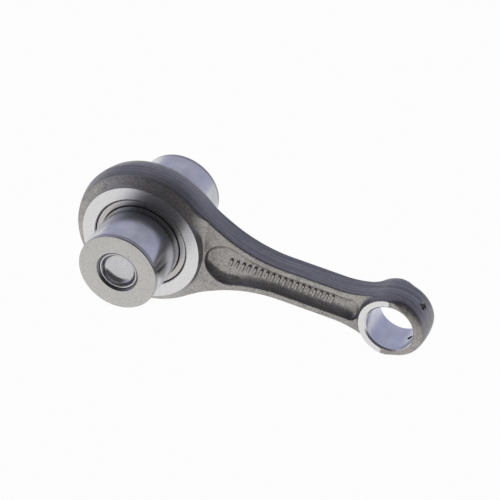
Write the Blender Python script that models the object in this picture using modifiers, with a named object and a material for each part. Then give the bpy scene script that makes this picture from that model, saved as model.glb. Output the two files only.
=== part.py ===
"""Connecting rod set of a single-cylinder four-stroke engine: rod, caged needle bearing and crankpin.

Units are metres. +X runs along the rod to the small end, +Y runs along the crankpin and +Z is up.
The origin is the centre of the rod's outer box, on the rod's planes of symmetry, Y = 0 and Z = 0.
Every shape is drawn from the crankpin's axis: an empty stands there, and all objects are its children.
"""

import math

import bmesh
import bpy
from mathutils import Matrix, Vector

MM = 0.001

# Rod: driving dimensions
CENTRE_DISTANCE = 108.0 * MM
BIG_BORE_RADIUS = 20.02 * MM
BIG_FACE_RADIUS = 25.55 * MM
BIG_HALF_WIDTH = 9.5 * MM
BIG_RIM_RADIUS = 30.8 * MM
BIG_RIM_HALF_WIDTH = 6.2 * MM
SMALL_BORE_RADIUS = 10.0 * MM
SMALL_FACE_RADIUS = 12.8 * MM
SMALL_HALF_WIDTH = 8.4 * MM
SMALL_RIM_RADIUS = 14.3 * MM
SMALL_FORGED_HALF_WIDTH = 8.15 * MM
BORE_CHAMFER = 0.35 * MM
SMALL_BORE_CHAMFER = 0.6 * MM
MACHINED_PAD_EDGE_X = CENTRE_DISTANCE - 2.0 * MM
# Forged sections, as (radius outside the ring face's edge, y) and (radius inside the rim, y)
BIG_SHOULDER = [(0.7 * MM, 7.4 * MM), (1.2 * MM, 6.4 * MM), (2.2 * MM, BIG_RIM_HALF_WIDTH)]
BIG_RIM_EDGE = [(1.6 * MM, 6.1 * MM), (0.8 * MM, 5.1 * MM), (0.0, 2.6 * MM)]
SMALL_SHOULDER = [(0.7 * MM, 6.9 * MM)]
SMALL_RIM_EDGE = [(0.3 * MM, 5.0 * MM), (0.0, 2.6 * MM)]
OIL_HOLE_RADIUS = 1.25 * MM
OIL_HOLE_SINK_RADIUS = 2.1 * MM
OIL_HOLE_ANGLE = math.radians(46)

# Rod: the I-section beam
BEAM_HALF_HEIGHT = 7.8 * MM
BEAM_HALF_THICKNESS = 5.2 * MM
BEAM_EDGE_RADIUS = 0.9 * MM
BIG_NECK_RADIUS = 60.0 * MM
SMALL_NECK_RADIUS = 26.0 * MM
FLANGE_WIDTH = 2.7 * MM
WEB_HALF_THICKNESS = 2.2 * MM
RECESS_FLOOR_RADIUS = 2.0 * MM
RECESS_ROUND_RADIUS = 9.5 * MM
RECESS_END_X = 93.3 * MM
RECESS_CORNER_RADIUS = 3.5 * MM

# Place of the crankpin's axis, which puts the rod's box around the origin
CRANKPIN_AXIS_X = (BIG_RIM_RADIUS - CENTRE_DISTANCE - SMALL_RIM_RADIUS) / 2

# Crankpin and its plugs
PIN_RADIUS = 17.0 * MM
PIN_HALF_LENGTH = 32.0 * MM
PIN_LEAD_IN = 1.7 * MM
PIN_LEAD_IN_DROP = 0.1 * MM
PIN_EDGE_BREAK = 0.15 * MM
PIN_SEAT_RADIUS = 8.2 * MM
PIN_SEAT_CHAMFER = 0.9 * MM
PIN_SEAT_CHAMFER_DEPTH = 0.7 * MM
PIN_SEAT_DEPTH = 5.0 * MM
PIN_GALLERY_RADIUS = 6.0 * MM
PIN_OIL_HOLE_RADIUS = 1.5 * MM
PIN_FEED_HOLE_Y = 21.0 * MM
PLUG_RECESS = 0.9 * MM
PLUG_DEPTH = 4.0 * MM
PLUG_WALL = 0.85 * MM
PLUG_CORNER_RADIUS = 1.1 * MM
PLUG_FLOOR_THICKNESS = 0.8 * MM
PLUG_BOTTOM_CHAMFER = 0.5 * MM
PLUG_OUTER_BREAK = 0.3 * MM
PLUG_INNER_BREAK = 0.15 * MM
FIT_GAP = 0.03 * MM

# Needle bearing
ROLLER_COUNT = 18
ROLLER_PITCH_RADIUS = 18.5 * MM
ROLLER_RADIUS = 1.475 * MM
ROLLER_HALF_LENGTH = 6.9 * MM
ROLLER_END_BREAK = 0.25 * MM
CAGE_INNER_RADIUS = 17.3 * MM
CAGE_OUTER_RADIUS = 19.75 * MM
CAGE_HALF_WIDTH = 9.2 * MM
CAGE_OUTER_BREAK = 0.35 * MM
CAGE_INNER_BREAK = 0.2 * MM
POCKET_CLEARANCE = 0.1 * MM
CAGE_NOTCH_WIDTH = 0.6 * MM
CAGE_NOTCH_DEPTH = 0.5 * MM

# Facets
BIG_STEPS = 72
SMALL_STEPS = 48
HOLE_SIDES = 16
ROLLER_SIDES = 12
ARC_SAG = 0.03 * MM
SMOOTH_BELOW = math.radians(30)
END_BREAK_ABOVE = math.radians(50)
MERGE_DISTANCE = 0.001 * MM
OVERRUN = 3.0 * MM

# Base colour and roughness
STEELS = {
    "forged_steel": ((0.16, 0.16, 0.17), 0.5),
    "ground_steel": ((0.52, 0.53, 0.58), 0.18),
    "turned_steel": ((0.62, 0.61, 0.59), 0.32),
    "silver_plated_steel": ((0.72, 0.70, 0.66), 0.25),
}

TURN_Z_TO_Y = Matrix.Rotation(-math.pi / 2, 4, "X")
AXIS_EMPTY = "crankpin_axis"


def clear_scene():
    for obj in list(bpy.data.objects):
        bpy.data.objects.remove(obj, do_unlink=True)


def add_crankpin_axis(collection):
    empty = bpy.data.objects.new(AXIS_EMPTY, None)
    empty.location.x = CRANKPIN_AXIS_X
    collection.objects.link(empty)


def new_collection(name):
    collection = bpy.data.collections.new(name)
    bpy.context.scene.collection.children.link(collection)
    return collection


def new_steel(name):
    colour, roughness = STEELS[name]
    material = bpy.data.materials.new(name)
    material.use_nodes = True
    shader = material.node_tree.nodes["Principled BSDF"]
    shader.inputs["Base Color"].default_value = (*colour, 1.0)
    shader.inputs["Roughness"].default_value = roughness
    shader.inputs["Metallic"].default_value = 1.0
    return material


def place(name, data, collection, matrix=Matrix.Identity(4)):
    """Links a new object that holds this mesh or curve, at this place from the crankpin's axis."""
    obj = bpy.data.objects.new(name, data)
    obj.parent = bpy.data.objects[AXIS_EMPTY]
    obj.matrix_basis = matrix
    collection.objects.link(obj)
    return obj


def turned(name, profile, steps, collection, place_at=Matrix.Identity(4)):
    """A solid of revolution about Y. The profile is (radius, y) points, down its outer side.

    A profile that starts and ends on the axis stays open there. Any other profile is a closed ring.
    """
    mesh = bpy.data.meshes.new(name)
    on_axis = profile[0][0] == 0 and profile[-1][0] == 0
    count = len(profile)
    edges = [(i, i + 1) for i in range(count - 1)]
    if not on_axis:
        edges.append((count - 1, 0))
    mesh.from_pydata([(radius, 0.0, y) for radius, y in profile], edges, [])
    obj = place(name, mesh, collection, place_at @ TURN_Z_TO_Y)
    screw = obj.modifiers.new("Turn", "SCREW")
    screw.axis = "Z"
    screw.steps = steps
    screw.render_steps = steps
    screw.use_merge_vertices = True
    screw.merge_threshold = MERGE_DISTANCE
    return obj


def mirrored(half_profile):
    """Adds the mirror image at negative y of a profile that runs down to y = 0 and doesn't reach it."""
    return half_profile + [(radius, -y) for radius, y in reversed(half_profile)]


def arc(centre, radius, start, end):
    """Points along an arc in a plane, from the start angle to the end angle, in chords of equal sag."""
    step = 2 * math.acos(1 - ARC_SAG / radius)
    count = max(2, math.ceil(abs(end - start) / step))
    angles = [start + (end - start) * i / count for i in range(count + 1)]
    return [(centre[0] + radius * math.cos(a), centre[1] + radius * math.sin(a)) for a in angles]


def flat_solid(name, outline, half_thickness, edge_radius, collection, y=0.0):
    """A plate parallel to XZ. Its rounded edges reach edge_radius outside this (x, z) outline."""
    curve = bpy.data.curves.new(name, "CURVE")
    curve.dimensions = "2D"
    curve.fill_mode = "BOTH"
    curve.extrude = half_thickness - edge_radius
    curve.bevel_depth = edge_radius
    curve.bevel_resolution = 1
    spline = curve.splines.new("POLY")
    spline.points.add(len(outline) - 1)
    for point, (x, z) in zip(spline.points, outline):
        point.co = (x, z, 0.0, 1.0)
    spline.use_cyclic_u = True
    stand_up = Matrix.Translation((0.0, y, 0.0)) @ Matrix.Rotation(math.pi / 2, 4, "X")
    guide = place(name + "_guide", curve, collection, stand_up)
    return curve_to_mesh(name, guide, collection)


def curve_to_mesh(name, guide, collection):
    """Replaces a curve object by a closed mesh object in the same place."""
    bpy.context.view_layer.update()
    graph = bpy.context.evaluated_depsgraph_get()
    mesh = bpy.data.meshes.new_from_object(guide.evaluated_get(graph))
    mesh.name = name
    shape = bmesh.new()
    shape.from_mesh(mesh)
    bmesh.ops.remove_doubles(shape, verts=shape.verts, dist=MERGE_DISTANCE)
    bmesh.ops.recalc_face_normals(shape, faces=shape.faces)
    shape.to_mesh(mesh)
    shape.free()
    obj = place(name, mesh, collection, guide.matrix_basis.copy())
    bpy.data.objects.remove(guide)
    return obj


def cylinder_mesh(name, radius_low, radius_high, length, sides, matrices):
    """One mesh of equal cylinders or cones along local Z, one at each matrix."""
    shape = bmesh.new()
    for matrix in matrices:
        bmesh.ops.create_cone(
            shape,
            cap_ends=True,
            segments=sides,
            radius1=radius_low,
            radius2=radius_high,
            depth=length,
            matrix=matrix,
        )
    mesh = bpy.data.meshes.new(name)
    shape.to_mesh(mesh)
    shape.free()
    return mesh


def box_mesh(name, size, matrices):
    """One mesh of equal boxes, one at each matrix."""
    shape = bmesh.new()
    for matrix in matrices:
        bmesh.ops.create_cube(shape, size=1.0, matrix=matrix @ Matrix.Diagonal((*size, 1.0)))
    mesh = bpy.data.meshes.new(name)
    shape.to_mesh(mesh)
    shape.free()
    return mesh


def combine(obj, other, operation):
    """Joins or cuts with an EXACT Boolean. The other object becomes a helper outside the result."""
    modifier = obj.modifiers.new(f"{operation.title()} {other.name}", "BOOLEAN")
    modifier.operation = operation
    modifier.object = other
    modifier.solver = "EXACT"
    other.hide_render = True
    other.display_type = "WIRE"


def finish(obj, material):
    """Gives a part its material and smooth shading with sharp machined edges."""
    obj.data.materials.clear()
    obj.data.materials.append(material)
    if obj.type == "MESH" and obj.data.polygons:
        obj.data.shade_smooth()
        obj.data.set_sharp_from_angle(angle=SMOOTH_BELOW)


def neck_centres():
    """Centres (x, z) of the two arcs that lead the beam's upper side into the big and the small end."""
    big_z = BEAM_HALF_HEIGHT + BIG_NECK_RADIUS
    big_x = math.sqrt((BIG_RIM_RADIUS + BIG_NECK_RADIUS) ** 2 - big_z**2)
    small_z = BEAM_HALF_HEIGHT + SMALL_NECK_RADIUS
    reach = math.sqrt((SMALL_RIM_RADIUS + SMALL_NECK_RADIUS) ** 2 - small_z**2)
    return (big_x, big_z), (CENTRE_DISTANCE - reach, small_z)


def with_lower_half(upper):
    """Closes an outline whose upper half runs from left to right."""
    return upper + [(x, -z) for x, z in reversed(upper) if z > 0]


def beam_outline():
    """The beam in side view, inset by its edge radius. It starts and ends inside the two bores."""
    big, small = neck_centres()
    inset = BEAM_EDGE_RADIUS
    big_start = math.atan2(-big[1], -big[0])
    small_end = math.atan2(-small[1], CENTRE_DISTANCE - small[0])
    upper = [(BIG_BORE_RADIUS / 2, BIG_BORE_RADIUS / 2)]
    upper += arc(big, BIG_NECK_RADIUS + inset, big_start, -math.pi / 2)
    upper += arc(small, SMALL_NECK_RADIUS + inset, -math.pi / 2, small_end)
    upper.append((CENTRE_DISTANCE, SMALL_BORE_RADIUS / 2))
    return with_lower_half(upper)


def recess_outline(inset):
    """The lightening recess, this far inside its edge: a round end, tapering sides and a squarer end."""
    (neck_x, neck_z), _ = neck_centres()
    side_radius = BIG_NECK_RADIUS + FLANGE_WIDTH
    reach = math.sqrt((side_radius + RECESS_ROUND_RADIUS) ** 2 - neck_z**2)
    round_x = neck_x - reach
    tangent = math.atan2(neck_z, reach)
    corner = RECESS_CORNER_RADIUS - inset
    half_height = BEAM_HALF_HEIGHT - FLANGE_WIDTH - inset
    corner_centre = (RECESS_END_X - RECESS_CORNER_RADIUS, half_height - corner)
    upper = arc((round_x, 0.0), RECESS_ROUND_RADIUS - inset, math.pi, tangent)
    upper += arc((neck_x, neck_z), side_radius + inset, tangent - math.pi, -math.pi / 2)[1:]
    upper += arc(corner_centre, corner, math.pi / 2, 0.0)
    return with_lower_half(upper)


def big_end_blank(collection):
    profile = [(0.0, BIG_HALF_WIDTH), (BIG_FACE_RADIUS, BIG_HALF_WIDTH)]
    profile += [(BIG_FACE_RADIUS + outwards, y) for outwards, y in BIG_SHOULDER]
    profile += [(BIG_RIM_RADIUS - inwards, y) for inwards, y in BIG_RIM_EDGE]
    return turned("big_end_blank", mirrored(profile), BIG_STEPS, collection)


def small_end_blank(collection):
    at_small_end = Matrix.Translation((CENTRE_DISTANCE, 0.0, 0.0))
    profile = [(0.0, SMALL_FORGED_HALF_WIDTH), (SMALL_FACE_RADIUS, SMALL_FORGED_HALF_WIDTH)]
    profile += [(SMALL_FACE_RADIUS + outwards, y) for outwards, y in SMALL_SHOULDER]
    profile += [(SMALL_RIM_RADIUS - inwards, y) for inwards, y in SMALL_RIM_EDGE]
    return turned("small_end_blank", mirrored(profile), SMALL_STEPS, collection, at_small_end)


def machined_pad(collection):
    """The milled part of the small end's faces, on the side that looks at the beam."""
    at_small_end = Matrix.Translation((CENTRE_DISTANCE, 0.0, 0.0))
    profile = [(0.0, SMALL_HALF_WIDTH), (SMALL_FACE_RADIUS, SMALL_HALF_WIDTH)]
    pad = turned("machined_pad", mirrored(profile), SMALL_STEPS, collection, at_small_end)
    size = 2 * (SMALL_FACE_RADIUS + SMALL_HALF_WIDTH)
    middle = Matrix.Translation((MACHINED_PAD_EDGE_X + size / 2, 0.0, 0.0))
    far_side = place("pad_limit", box_mesh("pad_limit", (size, size, size), [middle]), collection)
    combine(pad, far_side, "DIFFERENCE")
    return pad


def bore_cutter(name, x, radius, half_width, chamfer, steps, collection):
    """Cuts a bore along Y with a chamfer at both mouths."""
    reach = half_width + OVERRUN
    profile = [
        (0.0, reach),
        (radius + chamfer + OVERRUN, reach),
        (radius, half_width - chamfer),
    ]
    return turned(name, mirrored(profile), steps, collection, Matrix.Translation((x, 0.0, 0.0)))


def radial_matrix(x, angle, distance):
    """Local Z points away from the Y-parallel axis at this x, at this angle from +X, this far out."""
    turn = Matrix.Rotation(math.pi / 2 - angle, 4, "Y")
    return Matrix.Translation((x, 0.0, 0.0)) @ turn @ Matrix.Translation((0.0, 0.0, distance))


def oil_hole_cutters(collection):
    """Two oil holes through the small end's outer wall, each with a countersunk mouth."""
    inner = SMALL_BORE_RADIUS - OVERRUN
    outer = SMALL_RIM_RADIUS + OVERRUN
    angles = (OIL_HOLE_ANGLE, -OIL_HOLE_ANGLE)
    drills = [radial_matrix(CENTRE_DISTANCE, a, (inner + outer) / 2) for a in angles]
    radius = OIL_HOLE_RADIUS
    drill = cylinder_mesh("oil_holes", radius, radius, outer - inner, HOLE_SIDES, drills)
    sinks = [radial_matrix(CENTRE_DISTANCE, a, SMALL_RIM_RADIUS) for a in angles]
    width = 2 * OIL_HOLE_SINK_RADIUS
    sink = cylinder_mesh("oil_sinks", 0.0, width, width, HOLE_SIDES, sinks)
    return place("oil_holes", drill, collection), place("oil_sinks", sink, collection)


def make_rod(parts, cutters):
    rod = flat_solid("connecting_rod", beam_outline(), BEAM_HALF_THICKNESS, BEAM_EDGE_RADIUS, parts)
    combine(rod, big_end_blank(cutters), "UNION")
    combine(rod, small_end_blank(cutters), "UNION")
    combine(rod, machined_pad(cutters), "UNION")
    half_depth = (BEAM_HALF_THICKNESS - WEB_HALF_THICKNESS + OVERRUN) / 2 + RECESS_FLOOR_RADIUS
    for side, name in ((-1, "recess_front"), (1, "recess_back")):
        middle = side * (WEB_HALF_THICKNESS + half_depth)
        outline = recess_outline(RECESS_FLOOR_RADIUS)
        recess = flat_solid(name, outline, half_depth, RECESS_FLOOR_RADIUS, cutters, middle)
        combine(rod, recess, "DIFFERENCE")
    big_bore = bore_cutter(
        "big_bore", 0.0, BIG_BORE_RADIUS, BIG_HALF_WIDTH, BORE_CHAMFER, BIG_STEPS, cutters
    )
    combine(rod, big_bore, "DIFFERENCE")
    small_bore = bore_cutter(
        "small_bore", CENTRE_DISTANCE, SMALL_BORE_RADIUS, SMALL_FORGED_HALF_WIDTH,
        SMALL_BORE_CHAMFER, SMALL_STEPS, cutters,
    )
    combine(rod, small_bore, "DIFFERENCE")
    for cutter in oil_hole_cutters(cutters):
        combine(rod, cutter, "DIFFERENCE")
    return rod


def make_crankpin(parts, cutters):
    """A hollow pin: a plug seat at each end and an oil gallery between them."""
    half_profile = [
        (PIN_GALLERY_RADIUS, PIN_HALF_LENGTH - PIN_SEAT_DEPTH),
        (PIN_SEAT_RADIUS, PIN_HALF_LENGTH - PIN_SEAT_DEPTH),
        (PIN_SEAT_RADIUS, PIN_HALF_LENGTH - PIN_SEAT_CHAMFER_DEPTH),
        (PIN_SEAT_RADIUS + PIN_SEAT_CHAMFER, PIN_HALF_LENGTH),
        (PIN_RADIUS - PIN_LEAD_IN_DROP - PIN_EDGE_BREAK, PIN_HALF_LENGTH),
        (PIN_RADIUS - PIN_LEAD_IN_DROP, PIN_HALF_LENGTH - PIN_EDGE_BREAK),
        (PIN_RADIUS, PIN_HALF_LENGTH - PIN_LEAD_IN),
    ]
    pin = turned("crankpin", mirrored(half_profile), BIG_STEPS, parts)
    length = PIN_RADIUS + OVERRUN
    holes = [Matrix.Translation((0.0, y, -length / 2)) for y in (0.0, PIN_FEED_HOLE_Y)]
    radius = PIN_OIL_HOLE_RADIUS
    drill = cylinder_mesh("pin_oil_holes", radius, radius, length, HOLE_SIDES, holes)
    combine(pin, place("pin_oil_holes", drill, cutters), "DIFFERENCE")
    return pin


def make_plug(name, side, parts):
    """A cup plug with its open side outwards. Side is -1 for the front end and 1 for the back end."""
    rim = PIN_HALF_LENGTH - PLUG_RECESS
    floor = PIN_HALF_LENGTH - PLUG_DEPTH
    bottom = floor - PLUG_FLOOR_THICKNESS
    outer = PIN_SEAT_RADIUS - FIT_GAP
    inner = outer - PLUG_WALL
    corner = PLUG_CORNER_RADIUS
    cup = [(0.0, floor)]
    cup += arc((inner - corner, floor + corner), corner, -math.pi / 2, 0.0)
    cup += [
        (inner, rim - PLUG_INNER_BREAK),
        (inner + PLUG_INNER_BREAK, rim),
        (outer - PLUG_OUTER_BREAK, rim),
        (outer, rim - PLUG_OUTER_BREAK),
        (outer, bottom + PLUG_BOTTOM_CHAMFER),
        (outer - PLUG_BOTTOM_CHAMFER, bottom),
        (0.0, bottom),
    ]
    if side < 0:
        cup = [(radius, -y) for radius, y in reversed(cup)]
    return turned(name, cup, SMALL_STEPS, parts)


def make_cage(parts, cutters):
    """A ring with one radial window for each roller, and a joint notch in both end rings."""
    face = CAGE_HALF_WIDTH
    half_profile = [
        (CAGE_INNER_RADIUS, face - CAGE_INNER_BREAK),
        (CAGE_INNER_RADIUS + CAGE_INNER_BREAK, face),
        (CAGE_OUTER_RADIUS - CAGE_OUTER_BREAK, face),
        (CAGE_OUTER_RADIUS, face - CAGE_OUTER_BREAK),
    ]
    cage = turned("bearing_cage", mirrored(half_profile), BIG_STEPS, parts)
    radial_length = 2 * (CAGE_OUTER_RADIUS - CAGE_INNER_RADIUS)
    window_size = (
        2 * (ROLLER_RADIUS + POCKET_CLEARANCE),
        2 * (ROLLER_HALF_LENGTH + POCKET_CLEARANCE),
        radial_length,
    )
    places = [radial_matrix(0.0, roller_angle(i), ROLLER_PITCH_RADIUS) for i in range(ROLLER_COUNT)]
    windows = place("cage_windows", box_mesh("cage_windows", window_size, places), cutters)
    combine(cage, windows, "DIFFERENCE")
    notch_size = (CAGE_NOTCH_WIDTH, 2 * CAGE_NOTCH_DEPTH, radial_length)
    notch_places = [
        Matrix.Translation((0.0, side * CAGE_HALF_WIDTH, ROLLER_PITCH_RADIUS)) for side in (-1, 1)
    ]
    notches = place("cage_notches", box_mesh("cage_notches", notch_size, notch_places), cutters)
    combine(cage, notches, "DIFFERENCE")
    return cage


def roller_angle(index):
    """Angle of a roller from +X towards +Z. No roller stands at the cage's notch."""
    return math.radians(90) + (index + 0.5) * 2 * math.pi / ROLLER_COUNT


def make_rollers(parts, material):
    radius, length = ROLLER_RADIUS, 2 * ROLLER_HALF_LENGTH
    upright = cylinder_mesh(
        "needle_roller", radius, radius, length, ROLLER_SIDES, [Matrix.Identity(4)]
    )
    for index in range(ROLLER_COUNT):
        angle = roller_angle(index)
        centre = ROLLER_PITCH_RADIUS * Vector((math.cos(angle), 0.0, math.sin(angle)))
        laid = Matrix.Translation(centre) @ TURN_Z_TO_Y
        roller = place(f"roller_{index + 1:02d}", upright, parts, laid)
        bevel = roller.modifiers.new("End break", "BEVEL")
        bevel.width = ROLLER_END_BREAK
        bevel.segments = 1
        bevel.limit_method = "ANGLE"
        bevel.angle_limit = END_BREAK_ABOVE
        finish(roller, material)


def main():
    clear_scene()
    parts = new_collection("connecting_rod_set")
    cutters = new_collection("cutters")
    add_crankpin_axis(parts)
    steels = {name: new_steel(name) for name in STEELS}
    finish(make_rod(parts, cutters), steels["forged_steel"])
    finish(make_crankpin(parts, cutters), steels["ground_steel"])
    finish(make_plug("plug_front", -1, parts), steels["turned_steel"])
    finish(make_plug("plug_back", 1, parts), steels["turned_steel"])
    finish(make_cage(parts, cutters), steels["silver_plated_steel"])
    make_rollers(parts, steels["ground_steel"])


main()
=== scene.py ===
"""Looks of the connecting rod set: a forged rod on a hollow crankpin with a caged needle bearing.

Lengths are in millimetres from the crankpin's axis until a mesh or the camera is made. The stage is in metres.
"""

import math

import bmesh
import bpy
import numpy as np
from mathutils import Matrix, Vector


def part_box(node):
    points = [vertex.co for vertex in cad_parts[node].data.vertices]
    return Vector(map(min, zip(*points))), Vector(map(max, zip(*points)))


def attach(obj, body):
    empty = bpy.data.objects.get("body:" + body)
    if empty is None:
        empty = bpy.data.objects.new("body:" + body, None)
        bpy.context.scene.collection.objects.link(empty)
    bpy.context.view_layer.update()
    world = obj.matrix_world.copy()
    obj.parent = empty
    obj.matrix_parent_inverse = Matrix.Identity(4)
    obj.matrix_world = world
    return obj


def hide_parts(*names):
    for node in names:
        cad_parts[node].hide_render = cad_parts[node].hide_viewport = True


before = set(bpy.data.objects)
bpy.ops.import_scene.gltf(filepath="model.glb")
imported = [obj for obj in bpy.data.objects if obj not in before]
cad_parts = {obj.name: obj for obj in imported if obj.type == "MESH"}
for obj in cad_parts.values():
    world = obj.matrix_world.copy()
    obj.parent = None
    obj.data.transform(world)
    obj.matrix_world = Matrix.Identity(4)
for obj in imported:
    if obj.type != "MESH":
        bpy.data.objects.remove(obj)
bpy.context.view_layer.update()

MM = 0.001

# Places and sizes that the CAD frame gives
pin_low, pin_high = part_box("crankpin")
rod_low, rod_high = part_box("connecting_rod")
cage_low, cage_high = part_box("bearing_cage")
AXIS_X = (pin_low.x + pin_high.x) / 2 / MM
PIN_RADIUS = (pin_high.z - pin_low.z) / 2 / MM
PIN_HALF_LENGTH = pin_high.y / MM
BIG_RIM_RADIUS = AXIS_X - rod_low.x / MM
BIG_HALF_WIDTH = rod_high.y / MM
CAGE_HALF_WIDTH = cage_high.y / MM
CAGE_OUTER_RADIUS = (cage_high.x - cage_low.x) / 2 / MM
FLOOR_Z = rod_low.z / MM

# Rod: the two ends
CENTRE_DISTANCE = 108.0
SMALL_RIM_RADIUS = rod_high.x / MM - AXIS_X - CENTRE_DISTANCE
BIG_BORE_RADIUS = 20.02
BIG_BORE_CHAMFER = 0.35
BIG_FACE_RADIUS = 25.55
SMALL_BORE_RADIUS = 10.0
SMALL_BORE_CHAMFER = 0.75
SMALL_PAD_HALF = 8.4
SMALL_FORGED_HALF = 8.2
PAD_EDGE_X = CENTRE_DISTANCE - 2.0
OIL_HOLE_RADIUS = 1.25
OIL_HOLE_SINK_RADIUS = 1.9
OIL_HOLE_ANGLES = (math.radians(46), math.radians(-46))

# Rod: the beam between them
BEAM_HALF_HEIGHT = 7.8
BEAM_HALF_THICKNESS = 5.2
BIG_NECK_RADIUS = 60.0
SMALL_NECK_RADIUS = 38.0
FLANGE_WIDTH = 2.7
WEB_HALF_THICKNESS = 2.2
RECESS_ROUND_RADIUS = 9.4
RECESS_END_X = 93.3
RECESS_CORNER_RADIUS = 3.5
RECESS_FLOOR_RADII = (3.7, 4.4)
RECESS_HEAD_RADIUS = 1.2
RECESS_END_RADIUS = 2.2
RECESS_RIM_RADIUS = 0.3
RECESS_DRAFT = math.radians(10)

# Forging: places or angles in degrees where one shape starts to turn into the next, and where it has
FRONT_TO_BACK_Y = (-1.0, 1.0)
UPPER_TO_LOWER_Z = (-1.0, 1.0)
BIG_END_TO_BEAM_X = (12.0, 34.0)
BEAM_TO_SMALL_END_X = (CENTRE_DISTANCE - 8, CENTRE_DISTANCE + 4)
NECK_TO_TIP_X = (CENTRE_DISTANCE - 3, CENTRE_DISTANCE + 4)
NECK_TO_RIM_ANGLE = (8.0, 50.0)
FLANGE_TO_SHELF_ANGLE = (36.0, 62.0)
PAD_TO_FORGED_X = (PAD_EDGE_X - 1.2, PAD_EDGE_X + 1.2)
HEAD_TO_FLOOR_X = (33.0, 45.0)
HEAD_TO_FLOOR_Z = (1.5, 7.0)
FLOOR_TO_END_X = (RECESS_END_X - 6, RECESS_END_X - 1)

# Forging: what turns into what there. Steepness is in degrees from the rod's faces
BEAM_CROWNS = (0.15, 0.38)
BIG_CROWN_DEPTH = 5.9
BIG_CROWN_STRAIGHT = 0.65
BIG_CROWN_CURVED = 0.8
BIG_WALL_STEEPNESS = (87.0, 56.0)
BIG_WALL_FILLETS = (0.5, 5.2)
SHELF_HALF_WIDTHS = (BEAM_HALF_THICKNESS, 4.1)
SMALL_WALL_STEEPNESS = (66.0, 22.0)
SMALL_WALL_FILLET = 1.3
SMALL_NECK_SHOULDERS = (13.2, 13.55)
SMALL_TIP_SHOULDER = 13.9
SMALL_SHOULDER_HALF_WIDTHS = (8.4, 6.8)
SMALL_FACE_EDGE_RADIUS = 0.4
SIDE_EDGE_RADII = (0.6, 1.1)
PAD_STOCK = 0.45
RING_STOCK = 0.8

# Forging: mesh
FORGING_STEP = 0.36
SURFACE_ROUNDS = 3
SLOPE_PROBE = 0.01
LEAST_SQUARED_SLOPE = 0.3
LONGEST_PULL = 0.3

# Raised bars in the recess. Their profile is the outline's growth at each height above the floor
BAR_COUNT = 18
BAR_PITCH = 2.6
BAR_FIRST_X = 37.0
BAR_ROW_Z = 0.1
BAR_HALF_WIDTH = 0.52
BAR_HALF_LENGTH = 1.5
BAR_LEAN = math.radians(14)
BAR_PROFILE = ((0.3, -0.2), (0.22, 0.02), (0.08, 0.12), (0.0, 0.78), (-0.1, 0.88), (-0.2, 0.9))

# Crankpin and its plugs
PIN_SEAT_RADIUS = 8.2
PIN_SEAT_DEPTH = 5.0
PIN_GALLERY_RADIUS = 6.0
PIN_HOLE_PLACES_Y = (0.0, 21.0)
PIN_HOLE_RADIUS = 1.5
PIN_HOLE_SINK_RADIUS = 2.1
PLUG_RADIUS = 8.17
PLUG_WALL = 0.85
PLUG_RECESS = 0.9
PLUG_FLOOR_DEPTH = 4.0
PLUG_FLOOR_THICKNESS = 0.9
PLUG_CORNER_RADIUS = 2.75

# Bearing
ROLLER_COUNT = 18
ROLLER_PITCH_RADIUS = 18.5
ROLLER_RADIUS = 1.475
ROLLER_HALF_LENGTH = 6.9
ROLLER_END_RADIUS = 0.35
CAGE_INNER_RADIUS = 17.3
CAGE_WINDOW_PLAY = 0.2
CAGE_WINDOW_CORNER_RADIUS = 0.3
CAGE_NOTCH = (0.6, 1.0)

# Facets, cutters and the distance below which two points of a profile are one
BORE_STEPS = 192
FACING_STEPS = 96
HOLE_SIDES = 48
PIN_STEPS = 192
PLUG_STEPS = 128
CAGE_STEPS = 216
ROLLER_STEPS = 40
BAR_SIDES = 16
OVERRUN = 3.0
SINK_POINT = 0.001
BIG_FACING_RADIUS = BIG_FACE_RADIUS + 2
SMALL_FACING_RADIUS = SMALL_RIM_RADIUS + 1
OIL_HOLE_START = SMALL_BORE_RADIUS - 2
SAME_POINT = 0.0001

# Studio: the sky's colour by the height of a direction's end on the unit sphere
SKY = (
    (0.0, (0.78, 0.78, 0.84)),
    (0.12, (0.66, 0.67, 0.79)),
    (0.40, (0.55, 0.56, 0.70)),
    (0.65, (0.60, 0.605, 0.71)),
    (1.0, (0.46, 0.46, 0.53)),
)
DARK_SIDE = (0.38, -0.70, 0.605)
DARK_SIDE_FADE = (0.15, 0.65)
DARK_SKY = (0.09, 0.09, 0.10)
WHITE = (1.0, 1.0, 1.0)

# Studio: the floor, this many millimetres below the rod. The rest is in metres, and its brightness is
# given near the rod and far away towards the camera
FLOOR_GAP = 0.1
FLOOR_RADIUS = 4.0
FLOOR_SIDES = 64
FLOOR_DARK_SIDE = (0.5, -0.87, 0.0)
FLOOR_FADE = (0.08, 0.40)
FLOOR_BRIGHTNESS = (0.98, 0.30)

# Studio: the softbox, in metres and watts
SOFTBOX_PLACE = (-0.9, 1.3, 1.6)
SOFTBOX_SIZE = (1.8, 1.8)
SOFTBOX_POWER = 0.6
SOFTBOX_COLOUR = (0.96, 0.97, 1.0)

# Camera
CAMERA_PLACE = (394.336, -1094.595, 889.330)
CAMERA_RIGHT = (0.9143, 0.3876, 0.1172)
CAMERA_FORWARD = (-0.2423, 0.7556, -0.6086)
CAMERA_LENS = 260.3
CAMERA_SENSOR = 36.0


# ---------------------------------------------------------------- mesh helpers


def new_object(name, mesh):
    obj = bpy.data.objects.new(name, mesh)
    bpy.context.scene.collection.objects.link(obj)
    obj.location.x = AXIS_X * MM
    return obj


def mesh_from_shape(name, shape):
    """A mesh from a bmesh, which is freed."""
    mesh = bpy.data.meshes.new(name)
    shape.to_mesh(mesh)
    shape.free()
    return mesh


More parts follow.
